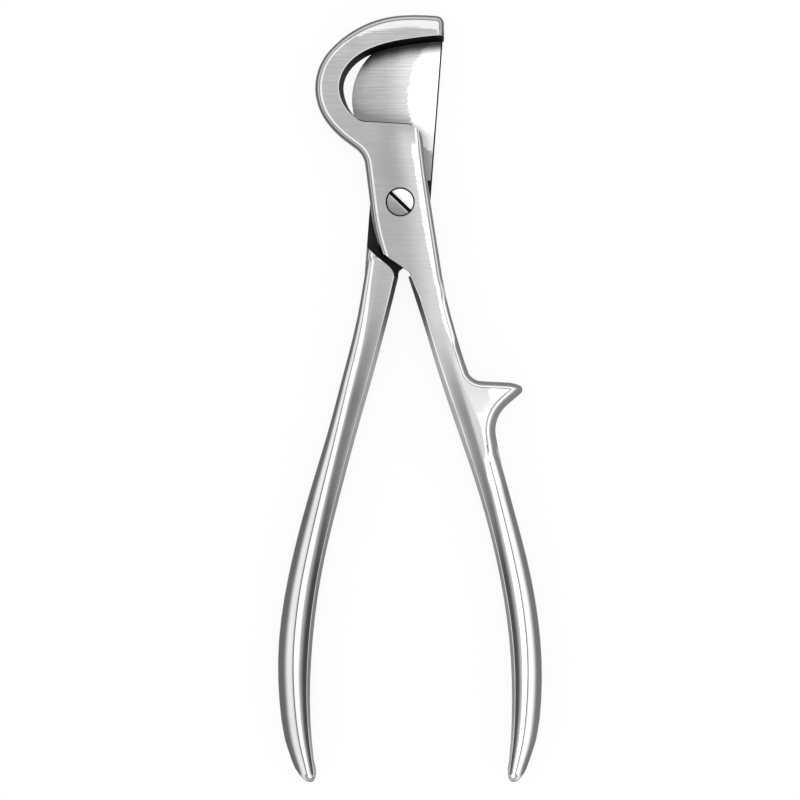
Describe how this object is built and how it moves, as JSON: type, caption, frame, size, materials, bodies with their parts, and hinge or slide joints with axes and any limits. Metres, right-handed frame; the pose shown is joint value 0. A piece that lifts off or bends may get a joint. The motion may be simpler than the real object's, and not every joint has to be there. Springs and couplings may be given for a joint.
{
  "type": "rib shears",
  "caption": "Surgical rib shears: a hooked jaw and a curved cutting blade on two crossed levers, joined by a slotted screw, with long plain handles and a finger spur.",
  "frame": {"origin": "on the screw's axis, in the flat rear face of the joint, which the shears rest on", "axes": "+Y from the screw toward the jaws, +Z out of the front face toward the viewer, +X to the side of the handle with the finger spur"},
  "size_m": [0.0725, 0.2102, 0.0081],
  "materials": {
    "lever_steel": "satin, polished on the rounded edges",
    "screw_steel": "turned and polished"
  },
  "bodies": {
    "rear_half": {"blade_lever": "lever_steel", "pivot_screw": "screw_steel"},
    "front_half": {"hook_lever": "lever_steel"}
  },
  "joints": [
    {"name": "lap_joint", "type": "hinge", "parent": "rear_half", "child": "front_half", "pos_m": [0, 0, 0.004], "axis": [0, 0, 1], "range_deg": [-7, 32]}
  ]
}
